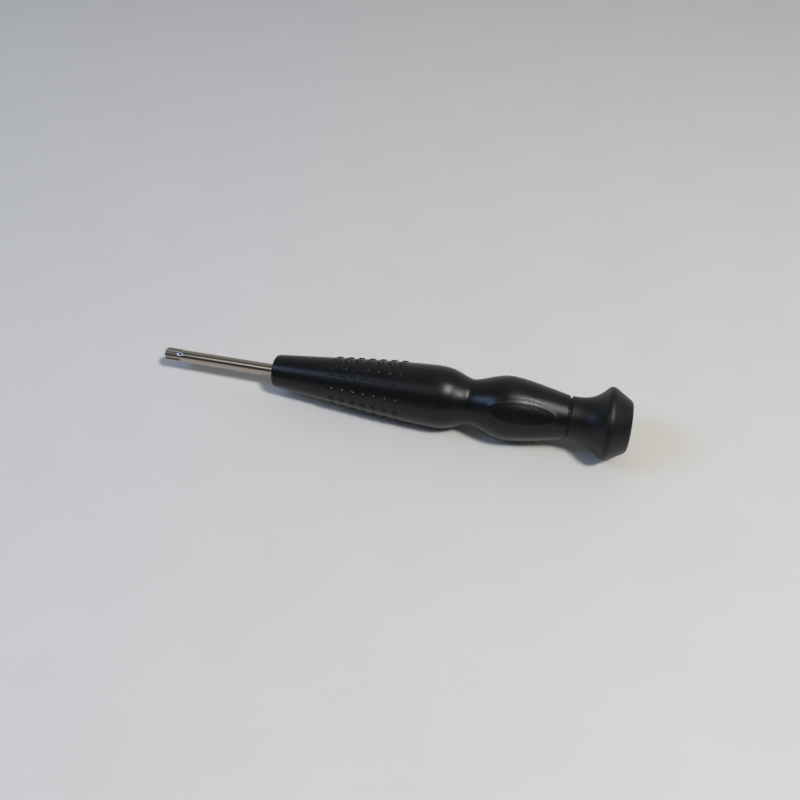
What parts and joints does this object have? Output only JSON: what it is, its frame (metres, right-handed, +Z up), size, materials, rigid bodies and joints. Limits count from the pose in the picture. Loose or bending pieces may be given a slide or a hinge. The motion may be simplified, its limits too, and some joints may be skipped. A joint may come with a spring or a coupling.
{
  "type": "precision screwdriver with turning cap",
  "caption": "Slim precision screwdriver with a fixed six-lobe blade, a waisted moulded grip and a finger cap that turns freely on a ball bearing.",
  "frame": {"origin": "on the surface that the tool lies on, below the middle of its length", "axes": "+X runs along the tool from blade to cap, +Z up; lying on its front bulge and its cap's rim, the tool's own axis rises 1.685 degrees from +X towards +Z"},
  "size_m": [0.1532, 0.023, 0.023],
  "materials": {
    "blade_chrome": "bright chrome plate over ground steel",
    "grip_plastic": "black moulded grip skin, satin with a soft sheen",
    "core_plastic": "hard black moulding, plain",
    "cap_plastic": "black soft-touch skin, matt",
    "disc_plastic": "black moulded disc, fine grain",
    "pin_steel": "turned steel",
    "bearing_steel": "ground and polished bearing steel",
    "cage_steel": "pressed steel sheet",
    "clip_steel": "phosphated spring steel, dark"
  },
  "bodies": {
    "handle": {"blade": "blade_chrome", "handle_core": "core_plastic", "grip_sleeve": "grip_plastic", "swivel_pin": "pin_steel", "spacer_sleeve": "pin_steel", "dust_ring": "core_plastic", "bearing_inner_ring": "bearing_steel", "pin_washer": "pin_steel", "e_clip": "clip_steel"},
    "cap": {"bearing_outer_ring": "bearing_steel", "bearing_shield_front": "cage_steel", "bearing_shield_rear": "cage_steel", "hub_circlip": "clip_steel", "cap_hub": "core_plastic", "cap_skin": "cap_plastic", "cap_end_disc": "disc_plastic"},
    "bearing_set": {"bearing_cage": "cage_steel", "bearing_ball_1": "bearing_steel", "bearing_ball_2": "bearing_steel", "bearing_ball_3": "bearing_steel", "bearing_ball_4": "bearing_steel", "bearing_ball_5": "bearing_steel", "bearing_ball_6": "bearing_steel", "bearing_ball_7": "bearing_steel"}
  },
  "joints": [
    {"name": "cap_spin", "type": "hinge", "parent": "handle", "child": "cap", "pos_m": [0.0638, 0, 0.01139], "axis": [0.9996, 0, 0.0294], "continuous": true},
    {"name": "bearing_set_spin", "type": "hinge", "parent": "handle", "child": "bearing_set", "pos_m": [0.0638, 0, 0.01139], "axis": [0.9996, 0, 0.0294], "continuous": true}
  ],
  "couplings": [
    {"joint": "bearing_set_spin", "follows": "cap_spin", "ratio": 0.6222}
  ]
}
